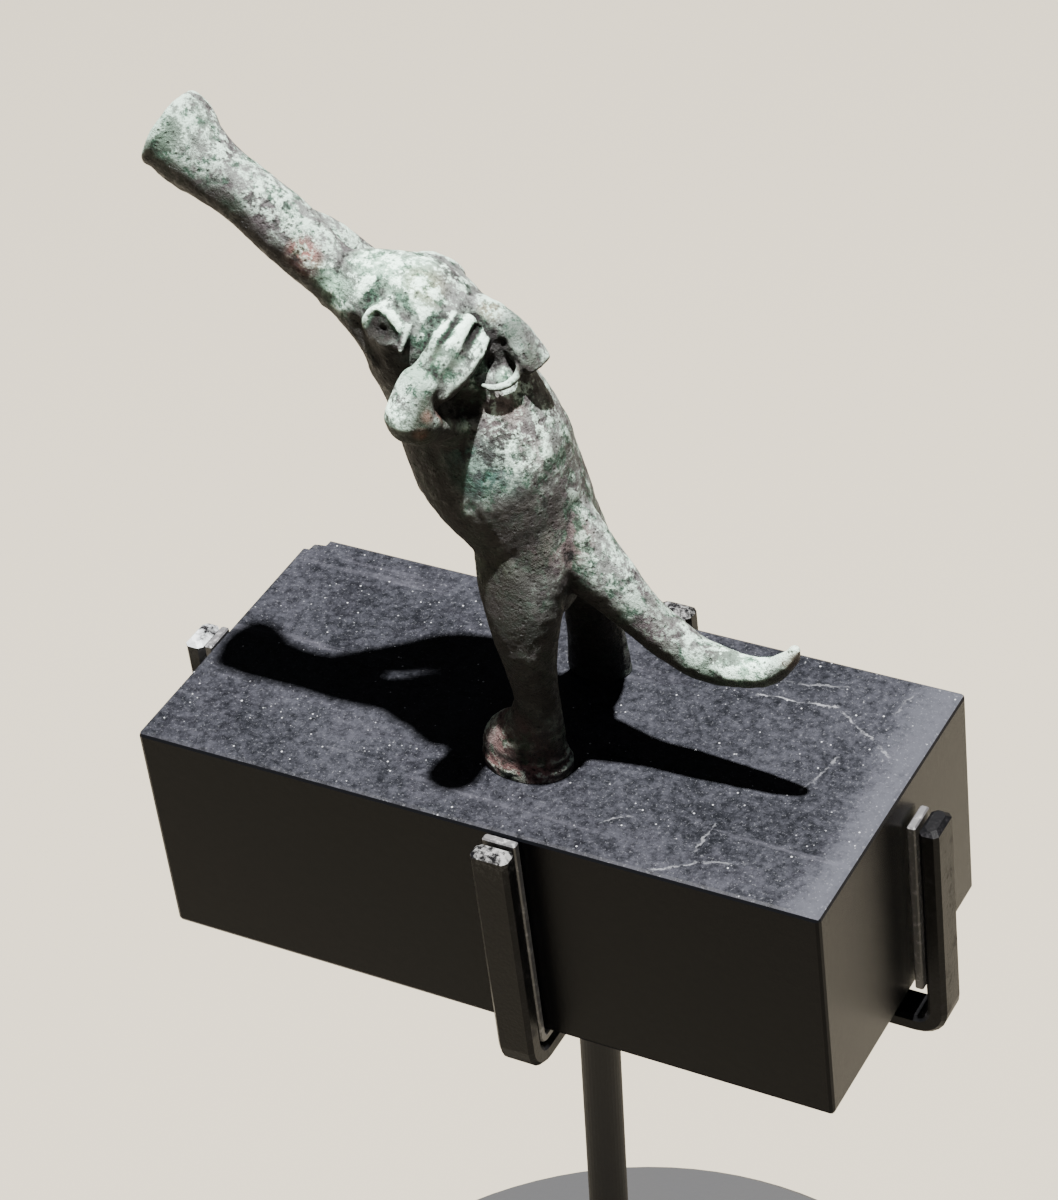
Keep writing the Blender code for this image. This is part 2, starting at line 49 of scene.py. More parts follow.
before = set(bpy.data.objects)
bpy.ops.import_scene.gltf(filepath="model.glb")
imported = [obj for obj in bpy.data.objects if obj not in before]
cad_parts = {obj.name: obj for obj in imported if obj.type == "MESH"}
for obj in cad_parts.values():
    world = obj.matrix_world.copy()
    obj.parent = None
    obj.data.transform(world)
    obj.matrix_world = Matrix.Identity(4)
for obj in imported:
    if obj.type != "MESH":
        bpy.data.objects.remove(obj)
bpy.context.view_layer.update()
BLOCK_LOW, BLOCK_HIGH = [Vector(corner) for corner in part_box("block")]
TOP_MIDDLE = Vector(((BLOCK_LOW.x + BLOCK_HIGH.x) / 2, (BLOCK_LOW.y + BLOCK_HIGH.y) / 2,
                     BLOCK_HIGH.z))
FIGURE_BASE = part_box("mouse")[0][2]
STEP = 0.001

# Counts and sizes of the modelling, in grid steps where they are lengths
RINGS_BETWEEN_STATIONS = 4
RINGS_IN_ROUND_END = 4
FINE_SIDES = 12
PALM_SIDES = 16
LOOP_STEPS = 28
LOOP_SIDES = 10
SOFTENING_ROUNDS = 5
SETTLING_ROUNDS = 2
LUMP_SIZE = 1.7
PIT_SIZE = 0.55
SOLE_LEVEL = -0.25
RELIEF_ROUNDS = 14
RELIEF_REACH = 0.10

# Second colours of the finishes, laid over the first ones in patches
STREAK_COLOUR = (0.048, 0.048, 0.058)
EDGE_COLOUR = (0.045, 0.048, 0.056)
SCRATCH_COLOUR = (0.085, 0.087, 0.095)
POWDER_COLOUR = (0.12, 0.123, 0.132)
FLECK_COLOUR = (0.26, 0.265, 0.28)
DUSTY_STRIP_COLOUR = (0.017, 0.016, 0.018)
PALER_TOP_COLOUR = (0.10, 0.10, 0.10)
PALE_END_COLOUR = (0.26, 0.27, 0.28)
FILM_COLOUR = (0.11, 0.107, 0.11)
FADED_PAINT_COLOUR = (0.019, 0.018, 0.017)

# Lights: (place in grid steps from the middle of the block's top, power in watts, colour)
KEY_LIGHT = ((28.0, 0.0, 1000.0), 135.0, (1.0, 0.985, 0.96))
FILL_LIGHT = ((500.0, -700.0, 500.0), 1.0, (0.92, 0.96, 1.0))
FILL_SIZE = 0.6
LIGHTS_AIM = Vector((0.0, 0.0, 0.015))
ROOM_COLOUR = (0.9, 0.9, 0.95, 1.0)
ROOM_STRENGTH = 0.12

# The camera as the photograph was taken: metres from the middle of the block's top, degrees
CAMERA_PLACE = Vector((0.09928, -0.15588, 0.15138))
CAMERA_TURN = (52.252, 5.982, 27.932)
CAMERA_SENSOR = 36.0
CAMERA_LENS = 108.34


class FigurineSizes(bpy.types.PropertyGroup):
    """Sizes of the figure's skin and of the stage."""

    step: bpy.props.FloatProperty(
        name="Grid step", description="Length of one step of the figure's grid",
        default=STEP, unit="LENGTH")
    skin_voxel: bpy.props.FloatProperty(
        name="Skin detail", description="Side of the skin's cells, in grid steps",
        default=0.16, min=0.1, max=0.6)
    sides: bpy.props.IntProperty(
        name="Limb sides", description="Points round each limb before the skin is made",
        default=28)
    lump_depth: bpy.props.FloatProperty(
        name="Casting lumps", description="Depth of the casting's broad unevenness, in steps",
        default=0.16)
    pit_depth: bpy.props.FloatProperty(
        name="Corrosion pits", description="Depth of the small pits in the skin, in steps",
        default=0.10)
    key_size: bpy.props.FloatProperty(
        name="Key light size", description="Width of the soft light above the figure",
        default=0.022, unit="LENGTH")
    floor_width: bpy.props.FloatProperty(
        name="Floor width", description="Width of the pale floor", default=3.0, unit="LENGTH")


class FigurineColours(bpy.types.PropertyGroup):
    """Colours of the finishes."""

    hollow: bpy.props.FloatVectorProperty(
        name="Bronze in the hollows", description="Dark bare bronze in pits and creases",
        subtype="COLOR", default=(0.0030, 0.0026, 0.0026))
    verdigris: bpy.props.FloatVectorProperty(
        name="Verdigris", description="Dark green that drifts over the bronze",
        subtype="COLOR", default=(0.007, 0.036, 0.019))
    brown: bpy.props.FloatVectorProperty(
        name="Brown patina", description="Mauve brown that shows between the green crusts",
        subtype="COLOR", default=(0.024, 0.0155, 0.020))
    worn: bpy.props.FloatVectorProperty(
        name="Pale crust", description="Pale mint crust on what stands proud",
        subtype="COLOR", default=(0.50, 0.66, 0.56))
    stone: bpy.props.FloatVectorProperty(
        name="Stone", description="Polished black stone",
        subtype="COLOR", default=(0.0022, 0.0024, 0.0031))
    dust: bpy.props.FloatVectorProperty(
        name="Dust", description="Blue-grey dust on the stone's top",
        subtype="COLOR", default=(0.0150, 0.0155, 0.0195))
    strip: bpy.props.FloatVectorProperty(
        name="Clip", description="Blackened metal of the clips",
        subtype="COLOR", default=(0.0016, 0.0016, 0.0019))
    lining: bpy.props.FloatVectorProperty(
        name="Lining", description="Pale lining between the clips and the stone",
        subtype="COLOR", default=(0.022, 0.0215, 0.023))
    paint: bpy.props.FloatVectorProperty(
        name="Rod paint", description="Dark grey paint of the rod and foot plate",
        subtype="COLOR", default=(0.016, 0.0165, 0.018))
    floor: bpy.props.FloatVectorProperty(
        name="Floor", description="Pale floor",
        subtype="COLOR", default=(0.165, 0.146, 0.111))


# Shader maths

class Wire:
    """A socket on a board, so that shader maths reads as an expression."""

    def __init__(self, board, socket):
        self.board = board
        self.socket = socket

    def maths(self, operation, first, second):
        node = self.board.node("ShaderNodeMath", {"operation": operation}, {0: first, 1: second})
        return self.board.wire(node, 0)

    def __add__(self, other):
        return self.maths("ADD", self, other)

    def __radd__(self, other):
        return self.maths("ADD", other, self)

    def __sub__(self, other):
        return self.maths("SUBTRACT", self, other)

    def __rsub__(self, other):
        return self.maths("SUBTRACT", other, self)

    def __mul__(self, other):
        return self.maths("MULTIPLY", self, other)

    def __rmul__(self, other):
        return self.maths("MULTIPLY", other, self)

    def __abs__(self):
        return self.maths("ABSOLUTE", self, 0.0)


class Board:
    """A material's node tree, and the few kinds of node that the finishes need."""

    def __init__(self, name):
        self.material = bpy.data.materials.new(name)
        self.material.use_nodes = True
        self.tree = self.material.node_tree
        self.shader = self.tree.nodes["Principled BSDF"]
        place = self.node("ShaderNodeTexCoord")
        self.place = self.wire(place, "Object")
        self.normal = self.wire(self.node("ShaderNodeNewGeometry"), "Normal")

    def wire(self, node, output):
        """One output of a node."""
        return Wire(self, node.outputs[output])

    def node(self, kind, settings=None, values=None):
        """Add a node, with its settings first and then its sockets' values or links."""
        node = self.tree.nodes.new(kind)
        for name, value in (settings or {}).items():
            setattr(node, name, value)
        for name, value in (values or {}).items():
            self.plug(node.inputs[name], value)
        return node

    def plug(self, socket, value):
        """Link a wire to a socket, or set its value."""
        if isinstance(value, Wire):
            self.tree.links.new(value.socket, socket)
        elif socket.type == "RGBA" and len(value) == 3:
            socket.default_value = (*value, 1.0)
        else:
            socket.default_value = value

    def noise(self, size, detail=4.0, roughness=0.55, stretch=(1, 1, 1), turn=(0, 0, 0)):
        """Cloudy noise with patches of about this size in metres."""
        node = self.node("ShaderNodeTexNoise", {"noise_dimensions": "3D"}, {
            "Vector": self.stretched(stretch, turn), "Scale": 1.0 / size, "Detail": detail,
            "Roughness": roughness})
        return self.wire(node, "Fac")

    def cells(self, size):
        """Distance from scattered points that lie about this far apart."""
        node = self.node("ShaderNodeTexVoronoi", {"feature": "F1"}, {
            "Vector": self.place, "Scale": 1.0 / size})
        return self.wire(node, "Distance")

    def stretched(self, stretch, turn):
        """The place on the piece, scaled and turned for a pattern that runs one way."""
        if stretch == (1, 1, 1) and turn == (0, 0, 0):
            return self.place
        node = self.node("ShaderNodeMapping", {}, {
            "Vector": self.place, "Rotation": turn, "Scale": stretch})
        return self.wire(node, "Vector")

    def rise(self, value, low, high):
        """Zero up to low, one from high, and smooth between."""
        node = self.node("ShaderNodeMapRange", {"interpolation_type": "SMOOTHSTEP"}, {
            "Value": value, "From Min": low, "From Max": high})
        return self.wire(node, "Result")

    def blend(self, first, second, share):
        """The first colour, with this share of the second over it."""
        node = self.node("ShaderNodeMix", {"data_type": "RGBA"}, {0: share, 6: first, 7: second})
        return self.wire(node, 2)

    def brightness(self, colour):
        return self.wire(self.node("ShaderNodeRGBToBW", {}, {0: colour}), 0)

    def part(self, vector, axis):
        return self.wire(self.node("ShaderNodeSeparateXYZ", {}, {0: vector}), axis)

    def painted(self, name, output="Fac"):
        """A value stored at the mesh's points."""
        node = self.node("ShaderNodeAttribute",
                         {"attribute_type": "GEOMETRY", "attribute_name": name})
        return self.wire(node, output)

    def near(self, spot, inner, outer):
        """One within inner metres of a spot, fading to zero at outer."""
        node = self.node("ShaderNodeVectorMath", {"operation": "DISTANCE"},
                         {0: self.place, 1: tuple(spot)})
        return 1.0 - self.rise(self.wire(node, "Value"), inner, outer)

    def reach(self, spot, direction):
        """How far a place lies from a spot, measured along a direction."""
        away = self.node("ShaderNodeVectorMath", {"operation": "SUBTRACT"},
                         {0: self.place, 1: tuple(spot)})
        node = self.node("ShaderNodeVectorMath", {"operation": "DOT_PRODUCT"},
                         {0: self.wire(away, "Vector"), 1: tuple(direction)})
        return self.wire(node, "Value")

    def bump(self, height, distance, strength):
        """Small relief of this depth in metres."""
        node = self.node("ShaderNodeBump", {}, {
            "Height": height, "Distance": distance, "Strength": strength})
        self.plug(self.shader.inputs["Normal"], self.wire(node, "Normal"))

    def finish(self, **sockets):
        """Plug the shader's sockets, whose names have underscores for spaces."""
        for name, value in sockets.items():
            self.plug(self.shader.inputs[name.replace("_", " ")], value)
        return self.material


def bronze_finish(colours):
    """Pitted bronze under a mottled green and grey crust."""
    board = Board("patinated bronze")
    # The stored tint holds the patina and also the painted shade and highlights
    tint_and_shade = board.painted("patina", "Color")
    raised = board.painted("raised")
    broad = board.noise(0.0026, 5.0, 0.6)
    drift = board.noise(0.0017, 6.0, 0.65, (1.0, 1.3, 0.9))
    mottle = board.noise(0.0008, 6.0, 0.72)
    grain = board.noise(0.00024, 5.0, 0.75)
    pits = board.cells(0.00055)
    # Verdigris and brown stay off where the tint is dark, painted shade included
    crust_out_of_shade = board.rise(board.brightness(tint_and_shade), 0.003, 0.045) * 0.85 + 0.15
    colour = board.blend(tint_and_shade, tuple(colours.verdigris),
                         board.rise(drift, 0.49, 0.56) * crust_out_of_shade * 0.7)
    colour = board.blend(colour, tuple(colours.brown),
                         board.rise(broad, 0.51, 0.59) * crust_out_of_shade * 0.65)
    crust = mottle + raised * 0.16 + (grain - 0.5) * 0.5
    colour = board.blend(tuple(colours.hollow), colour, board.rise(crust, 0.30, 0.54))
    bright = board.rise(crust + (drift - 0.5) * 0.5 + raised * 0.05, 0.53, 0.70)
    pale = board.blend(tint_and_shade, tuple(colours.worn), board.rise(board.brightness(tint_and_shade), 0.006, 0.15))
    colour = board.blend(colour, pale, bright * 0.85)
    hole = 1.0 - board.rise(pits, 0.08, 0.26)
    speck = hole * board.rise(mottle, 0.44, 0.54)
    colour = board.blend(colour, tuple(colours.hollow), speck * 0.75)
    board.bump(mottle * 0.7 + grain * 0.4 + broad * 0.3 - hole * 0.2, 0.00045, 1.0)
    return board.finish(Base_Color=colour, Roughness=0.60 - bright * 0.24,
                        Specular_IOR_Level=0.14)


# The thicker dust along the stone's right edge, in metres
EDGE_DUST_WIDTH = 0.0035
EDGE_DUST_FULL = 0.0002
EDGE_RAGGEDNESS = 0.006


def stone_finish(colours):
    """Polished black stone whose top is dusty, scratched and specked."""
    board = Board("black stone")
    up = board.rise(board.part(board.normal, "Z"), 0.5, 0.9)
    cloud = board.noise(0.010, 5.0, 0.6)
    grain = board.noise(0.0006, 7.0, 0.8)
    fine = board.rise(board.noise(0.00022, 3.0, 0.8), 0.57, 0.68)
    fleck = 1.0 - board.rise(board.cells(0.00065) + (grain - 0.5) * 0.25, 0.04, 0.13)
    fleck = fleck * board.rise(board.noise(0.0026, 5.0, 0.75), 0.46, 0.56)
    streaks = board.rise(board.noise(0.0035, 5.0, 0.62, (0.10, 1.3, 1.0), (0, 0, 0.35)),
                         0.60, 0.74)
    cracks = scratch_lines(board)
    ragged = (cloud - 0.5) * EDGE_RAGGEDNESS
    edge = board.rise(board.part(board.place, "X") + ragged,
                      BLOCK_HIGH.x - EDGE_DUST_WIDTH, BLOCK_HIGH.x - EDGE_DUST_FULL)
    dust = up * board.rise(cloud * 0.30 + grain * 0.70 + edge * 0.15, 0.36, 0.68)
    colour = board.blend(tuple(colours.stone), tuple(colours.dust), dust)
    colour = board.blend(colour, STREAK_COLOUR, up * streaks * 0.35)
    colour = board.blend(colour, EDGE_COLOUR, up * edge * grain * 0.3)
    colour = board.blend(colour, SCRATCH_COLOUR, up * cracks)
    colour = board.blend(colour, POWDER_COLOUR, up * fine * 0.22)
    colour = board.blend(colour, FLECK_COLOUR, up * fleck * 0.75)
    board.bump(grain * 0.6 + cloud * 0.2 + up * fleck * 0.5, 0.00010, 0.35)
    return board.finish(Base_Color=colour, Roughness=0.26 + dust * 0.40,
                        Specular_IOR_Level=0.05)


# Cracks and scratches on the stone's top: (start, end, strength), in grid steps from its middle
SCRATCHES = [
    ((12.1, 6.7), (18.0, 7.3), 0.8), ((18.0, 7.3), (19.5, 6.1), 0.7),
    ((19.5, 6.1), (23.1, 3.9), 0.6), ((18.9, -1.4), (20.0, 2.9), 0.45),
    ((15.1, -9.7), (15.2, -5.6), 0.5), ((13.1, -11.3), (15.9, -9.5), 0.6),
    ((15.9, -9.5), (18.9, -8.5), 0.45), ((8.3, -8.3), (10.0, -7.1), 0.5),
    ((21.4, 7.8), (21.9, 10.4), 0.35), ((13.4, 8.5), (17.8, 9.5), 0.4),
]
SCRATCH_CORE = 0.00002
SCRATCH_HALF_WIDTH = 0.00012
SCRATCH_WANDER = 0.0011
SCRATCH_FADE = 0.0004


def scratch_lines(board):
    """Thin pale cracks and scratches across the stone's top."""
    wander = board.noise(0.0012, 4.0, 0.7) - 0.5
    patchy = board.rise(board.noise(0.0009, 4.0, 0.7), 0.36, 0.56)
    total = 0.0
    for start, end, strength in SCRATCHES:
        start = TOP_MIDDLE + Vector((*start, 0.0)) * STEP
        run = TOP_MIDDLE + Vector((*end, 0.0)) * STEP - start
        across = Vector((-run.y, run.x, 0.0)).normalized()
        along = board.reach(start, run.normalized())
        beside = abs(board.reach(start, across) + wander * SCRATCH_WANDER)
        line = 1.0 - board.rise(beside, SCRATCH_CORE, SCRATCH_HALF_WIDTH)
        line = line * board.rise(along, 0.0, SCRATCH_FADE)
        line = line * (1.0 - board.rise(along, run.length - SCRATCH_FADE, run.length))
        total = line * strength + total
    return total * patchy


# Where the clips' upper ends, and most of all the left one's end, are made paler, in metres
LEFT_END = Vector((BLOCK_LOW.x - 0.0015, TOP_MIDDLE.y - 0.0007, BLOCK_HIGH.z - 0.0005))
PALE_END_REACH = (0.0010, 0.0028)
PALER_TOP_FROM = BLOCK_HIGH.z - 0.0025
PALER_TOP_FULL = BLOCK_HIGH.z - 0.0005


def strip_finish(colours):
    """Blackened strip metal, paler at the clips' upper ends, most on faces that point up."""
    board = Board("blackened strip")
    mottle = board.noise(0.0015, 5.0, 0.65)
    grain = board.noise(0.0003, 4.0, 0.7)
    dusty = board.rise(mottle * 0.6 + grain * 0.4, 0.50, 0.66)
    colour = board.blend(tuple(colours.strip), DUSTY_STRIP_COLOUR, dusty * 0.6)
    # The upper ends get a paler colour, most on the faces that point up
    up = board.rise(board.part(board.normal, "Z"), 0.1, 0.6)
    tops = board.rise(board.part(board.place, "Z"), PALER_TOP_FROM, PALER_TOP_FULL)
    paler_top = tops * board.rise(mottle * 0.5 + grain * 0.5, 0.46, 0.58)
    colour = board.blend(colour, PALER_TOP_COLOUR, paler_top * (up * 0.75 + 0.2))
    pale_end = board.near(LEFT_END, *PALE_END_REACH) * board.rise(mottle, 0.38, 0.58)
    colour = board.blend(colour, PALE_END_COLOUR, pale_end * (up * 0.9 + 0.05))
    board.bump(mottle * 0.4 + grain * 0.6, 0.00008, 0.5)
    return board.finish(Base_Color=colour, Roughness=0.42 + dusty * 0.2, Metallic=0.1,
                        Specular_IOR_Level=0.08)


def lining_finish(colours):
    """Pale dull film."""
    board = Board("pale lining")
    grain = board.noise(0.0004, 5.0, 0.7)
    colour = board.blend(tuple(colours.lining), FILM_COLOUR, board.rise(grain, 0.5, 0.7))
    board.bump(grain, 0.00005, 0.5)
    return board.finish(Base_Color=colour, Roughness=0.5)


def paint_finish(colours):
    """Matt dark grey paint."""
    board = Board("grey painted steel")
    cloud = board.noise(0.006, 4.0)
    grain = board.noise(0.00035, 4.0, 0.7)
    colour = board.blend(tuple(colours.paint), FADED_PAINT_COLOUR, cloud * 0.5)
    board.bump(grain, 0.00004, 0.4)
    return board.finish(Base_Color=colour, Roughness=0.55 + grain * 0.15,
                        Specular_IOR_Level=0.12)


def floor_finish(colours):
    """Pale floor, faintly clouded."""
    board = Board("pale floor")
    cloud = board.noise(0.12, 3.0)
    shade = tuple(0.94 * part for part in colours.floor)
    return board.finish(Base_Color=board.blend(shade, tuple(colours.floor), cloud), Roughness=0.8)


# Modelling by hand operations

def let_go():
    """Leave edit mode and deselect everything."""
    if bpy.context.mode != "OBJECT":
        bpy.ops.object.mode_set(mode="OBJECT")
    bpy.ops.object.select_all(action="DESELECT")


def take_up(obj):
    """Select this object alone and make it the active one."""
    let_go()
    obj.select_set(True)
    bpy.context.view_layer.objects.active = obj


def between(before, start, end, after, share):
    """Catmull-Rom value between start and end."""
    square = share * share
    return 0.5 * (2 * start + (end - before) * share
                  + (2 * before - 5 * start + 4 * end - after) * square
                  + (3 * start - before - 3 * end + after) * square * share)


def refine(stations):
    """More rings between the stations, on one smooth curve."""
    rows = [(Vector(row[:3]), row[3], row[4]) for row in stations]
    last = len(rows) - 1
    refined = []
    for index in range(last):
        around = [rows[max(index - 1, 0)], rows[index], rows[index + 1],
                  rows[min(index + 2, last)]]
        for ring in range(RINGS_BETWEEN_STATIONS):
            share = ring / RINGS_BETWEEN_STATIONS
            refined.append(tuple(between(*[row[part] for row in around], share)
                                 for part in range(3)))
    refined.append(rows[last])
    return refined


def facing(along, level=None):
    """Turn a circle so that it lies across a limb, with its width level."""
    along = along.normalized()
    if level is None:
        level = Vector((0, 1, 0)) if abs(along.y) < 0.9 else Vector((1, 0, 0))
    across = (level - along * level.dot(along)).normalized()
    return Matrix((across, along.cross(across), along)).transposed().to_euler()


def pick_edges(obj, indices):
    """Select these edges alone."""
    mesh_in_hand = bmesh.from_edit_mesh(obj.data)
    mesh_in_hand.edges.ensure_lookup_table()
    bpy.ops.mesh.select_all(action="DESELECT")
    for index in indices:
        mesh_in_hand.edges[index].select_set(True)
    bmesh.update_edit_mesh(obj.data)


def bridge_circles(rings, sides, closed=False):
    """Add a circle for each (centre, turn, width, depth) and bridge them in order."""
    let_go()
    for index, (centre, turn, width, depth) in enumerate(rings):
        bpy.ops.mesh.primitive_circle_add(vertices=sides, radius=1, location=centre,
                                          rotation=turn, enter_editmode=(index == 0))
        bpy.ops.transform.resize(value=(width, depth, 1), orient_type="GLOBAL",
                                 orient_matrix=turn.to_matrix(), orient_matrix_type="GLOBAL",
                                 center_override=centre)
    bpy.ops.mesh.select_mode(type="EDGE")
    obj = bpy.context.object
    count = len(rings)
    for index in range(count if closed else count - 1):
        after = (index + 1) % count
        pick_edges(obj, [*range(index * sides, (index + 1) * sides),
                         *range(after * sides, (after + 1) * sides)])
        bpy.ops.mesh.bridge_edge_loops()
    if not closed:
        for index in (0, count - 1):
            pick_edges(obj, range(index * sides, (index + 1) * sides))
            bpy.ops.mesh.edge_face_add()
    bpy.ops.mesh.select_all(action="SELECT")
    bpy.ops.mesh.normals_make_consistent(inside=False)
    bpy.ops.object.mode_set(mode="OBJECT")
    return obj


def lay_limb(stations, sides, round_start=True, round_end=True, level=None):
    """A closed limb through stations of (x, y, z, half depth, half width)."""
    rows = refine(stations)
    centres = [row[0] for row in rows]
    last = len(rows) - 1
    rings = []
    for index, (centre, depth, width) in enumerate(rows):
        along = centres[min(index + 1, last)] - centres[max(index - 1, 0)]
        rings.append((centre, facing(along, level), width, depth))
    if round_start:
        rings = rounding(rows[0], centres[0] - centres[1], True)[::-1] + rings
    if round_end:
        rings = rings + rounding(rows[last], centres[last] - centres[last - 1], False)
    return bridge_circles(rings, sides)


def rounding(row, outward, turned):
    """Rings that close a limb's end as a dome."""
    centre, depth, width = row
    outward = outward.normalized()
    reach = min(depth, width)
    rings = []
    for step in range(1, RINGS_IN_ROUND_END + 1):
        angle = 0.5 * math.pi * step / (RINGS_IN_ROUND_END + 0.4)
        rings.append((centre + outward * reach * math.sin(angle),
                      facing(-outward if turned else outward),
                      width * math.cos(angle), depth * math.cos(angle)))
    return rings


def lay_loop(centre, first, second, thickness):
    """A closed ring of round section round an ellipse."""
    centre, first, second = Vector(centre), Vector(first), Vector(second)
    normal = first.cross(second)
    rings = []
    for step in range(LOOP_STEPS):
        angle = 2 * math.pi * step / LOOP_STEPS
        outward = first * math.cos(angle) + second * math.sin(angle)
        along = second * math.cos(angle) - first * math.sin(angle)
        rings.append((centre + outward, facing(along, normal), thickness, thickness))
    return bridge_circles(rings, LOOP_SIDES, closed=True)


def lay_ball(centre, radius):
    """A round eyeball."""
    let_go()
    bpy.ops.mesh.primitive_uv_sphere_add(segments=24, ring_count=16, radius=radius,
                                         location=centre)
    return bpy.context.object


def apply_modifier(obj, name, kind, **settings):
    """Add a modifier with these settings and apply it."""
    bpy.context.view_layer.objects.active = obj
    bpy.ops.object.modifier_add(type=kind)
    modifier = obj.modifiers[-1]
    modifier.name = name
    for key, value in settings.items():
        setattr(modifier, key, value)
    bpy.ops.object.modifier_apply(modifier=name)


def join_as(name, parts):
    """Join parts into one object of this name, with their places applied."""
    let_go()
    for obj in parts:
        obj.select_set(True)
    bpy.context.view_layer.objects.active = parts[0]
    bpy.ops.object.transform_apply(location=True, rotation=True, scale=True)
    bpy.ops.object.join()
    whole = bpy.context.object
    whole.name = name
    whole.data.name = name
    return whole


def read_points(obj):
    """The mesh's points as an array of rows."""
    points = np.empty(len(obj.data.vertices) * 3)
    obj.data.vertices.foreach_get("co", points)
    return points.reshape(-1, 3)


def read_normals(obj):
    """The normals at the mesh's points as an array of rows."""
    normals = np.empty(len(obj.data.vertices) * 3)
    obj.data.vertex_normals.foreach_get("vector", normals)
    return normals.reshape(-1, 3)


def write_points(obj, points):
    """Move the mesh's points to these places."""
    obj.data.vertices.foreach_set("co", points.ravel())
    obj.data.update()


def distance_to_stroke(points, stroke):
    """Distance of each point from a line through the stroke's spots."""
    spots = [np.array(spot, float) for spot in stroke]
    if len(spots) == 1:
        return np.linalg.norm(points - spots[0], axis=1)
    best = np.full(len(points), 1e9)
    for start, end in zip(spots, spots[1:]):
        run = end - start
        share = np.clip((points - start) @ run / (run @ run), 0.0, 1.0)
        best = np.minimum(best, np.linalg.norm(points - start - share[:, None] * run, axis=1))
    return best


def press(obj, strokes):
    """Press the skin in along strokes of (spots, reach, depth); a negative depth raises it."""
    for spots, reach, depth in strokes:
        points = read_points(obj)
        normals = read_normals(obj)
        share = 1.0 - np.clip(distance_to_stroke(points, spots) / reach, 0.0, 1.0)
        share = share * share * (3 - 2 * share)
        write_points(obj, points - normals * (share * depth)[:, None])


def neighbour_average(values, pairs, counts):
    """The mean of each point's neighbours along the edges."""
    total = np.zeros_like(values)
    for axis in range(values.shape[1]):
        total[:, axis] = (np.bincount(pairs[:, 0], values[pairs[:, 1], axis], len(values))
                          + np.bincount(pairs[:, 1], values[pairs[:, 0], axis], len(values)))
    return total / counts[:, None]


def note_relief(obj, rounds, reach):
    """Store how far each point stands proud of the evened-out skin, from -1 to 1."""
    points = read_points(obj)
    normals = read_normals(obj)
    pairs = np.empty(len(obj.data.edges) * 2, dtype=np.int32)
    obj.data.edges.foreach_get("vertices", pairs)
    pairs = pairs.reshape(-1, 2)
    counts = np.maximum(np.bincount(pairs.ravel(), minlength=len(points)), 1).astype(float)
    even = points.copy()
    for _ in range(rounds):
        even = neighbour_average(even, pairs, counts)
    proud = ((points - even) * normals).sum(1) / reach
    layer = obj.data.attributes.new("raised", "FLOAT", "POINT")
    layer.data.foreach_set("value", np.clip(proud, -1.0, 1.0).astype(np.float32))


# The figure's masses as (x, y, z, half depth, half width), in grid steps. The near hand, its arm,
# the lids and the rims are finer here than in the solid.
BODY = [
    (1.9, -0.5, 11.2, 1.8, 2.8), (2.0, -0.6, 13.2, 2.8, 4.1), (1.9, -0.8, 15.6, 3.5, 4.5),
    (1.05, -0.9, 18.0, 4.2, 4.8), (-0.45, -1.0, 20.8, 5.3, 4.9), (-1.6, -0.9, 23.6, 5.4, 4.4),
    (-2.7, -0.9, 26.4, 5.0, 3.9), (-3.9, -1.05, 29.0, 4.5, 4.1), (-5.3, -1.3, 31.0, 3.9, 4.1),
    (-7.4, -1.6, 32.2, 3.0, 3.0), (-9.4, -1.9, 33.0, 2.2, 1.8),
]
TRUMPET = [
    (-8.4, -1.7, 32.2, 1.9, 1.8), (-10.0, -2.0, 33.5, 2.0, 1.65), (-11.6, -2.0, 34.9, 2.1, 1.8),
    (-13.2, -1.85, 36.1, 2.1, 2.0), (-15.2, -1.75, 37.6, 1.95, 1.95),
    (-17.4, -1.7, 38.9, 2.05, 2.0), (-19.2, -1.5, 40.0, 2.5, 2.3),
    (-20.3, -1.05, 40.7, 2.7, 2.65), (-20.9, -0.9, 41.0, 2.75, 2.75),
]
TAIL = [
    (2.7, -1.0, 17.0, 3.1, 2.5), (4.9, -1.05, 14.8, 2.5, 2.2), (6.7, -1.1, 13.2, 2.0, 1.8),
    (8.8, -1.15, 11.2, 1.6, 1.4), (10.8, -1.15, 9.7, 1.5, 1.35), (12.8, -1.15, 8.8, 1.4, 1.25),
    (15.4, -1.15, 8.6, 1.15, 1.05), (17.5, -1.15, 9.2, 0.9, 0.85), (18.9, -1.1, 10.5, 0.6, 0.6),
    (19.3, -1.1, 11.3, 0.4, 0.4),
]
NEAR_LEG = [
    (1.4, -2.2, 18.6, 3.2, 2.7), (1.8, -2.9, 16.6, 3.3, 2.6), (2.0, -3.7, 14.8, 3.2, 2.4),
    (2.2, -4.5, 12.6, 2.7, 2.15), (2.4, -4.95, 10.0, 2.05, 1.85), (2.65, -5.1, 6.6, 1.5, 1.4),
    (2.6, -5.1, 5.0, 1.6, 1.45), (2.15, -5.0, 3.1, 2.15, 1.65), (1.3, -4.85, 1.3, 3.0, 1.9),
    (1.2, -4.8, 0.0, 3.2, 2.1), (1.2, -4.8, -1.0, 3.2, 2.1),
]
FAR_LEG = [
    (1.5, 1.6, 15.6, 3.0, 2.6), (1.7, 3.2, 12.4, 2.5, 2.2), (1.6, 4.6, 8.4, 2.0, 1.8),
    (1.3, 5.2, 4.6, 1.9, 1.6), (1.2, 5.5, 2.0, 2.1, 1.6), (1.1, 5.7, 0.0, 2.3, 1.6),
    (1.1, 5.7, -1.0, 2.3, 1.6),
]
NEAR_ARM = [
    (-1.3, -3.2, 25.0, 2.0, 1.8), (-1.8, -5.3, 26.5, 1.7, 1.45), (-1.95, -7.6, 28.0, 1.75, 1.45),
    (-1.95, -7.3, 29.2, 1.4, 1.1), (-1.75, -6.5, 30.2, 1.25, 0.8),
]
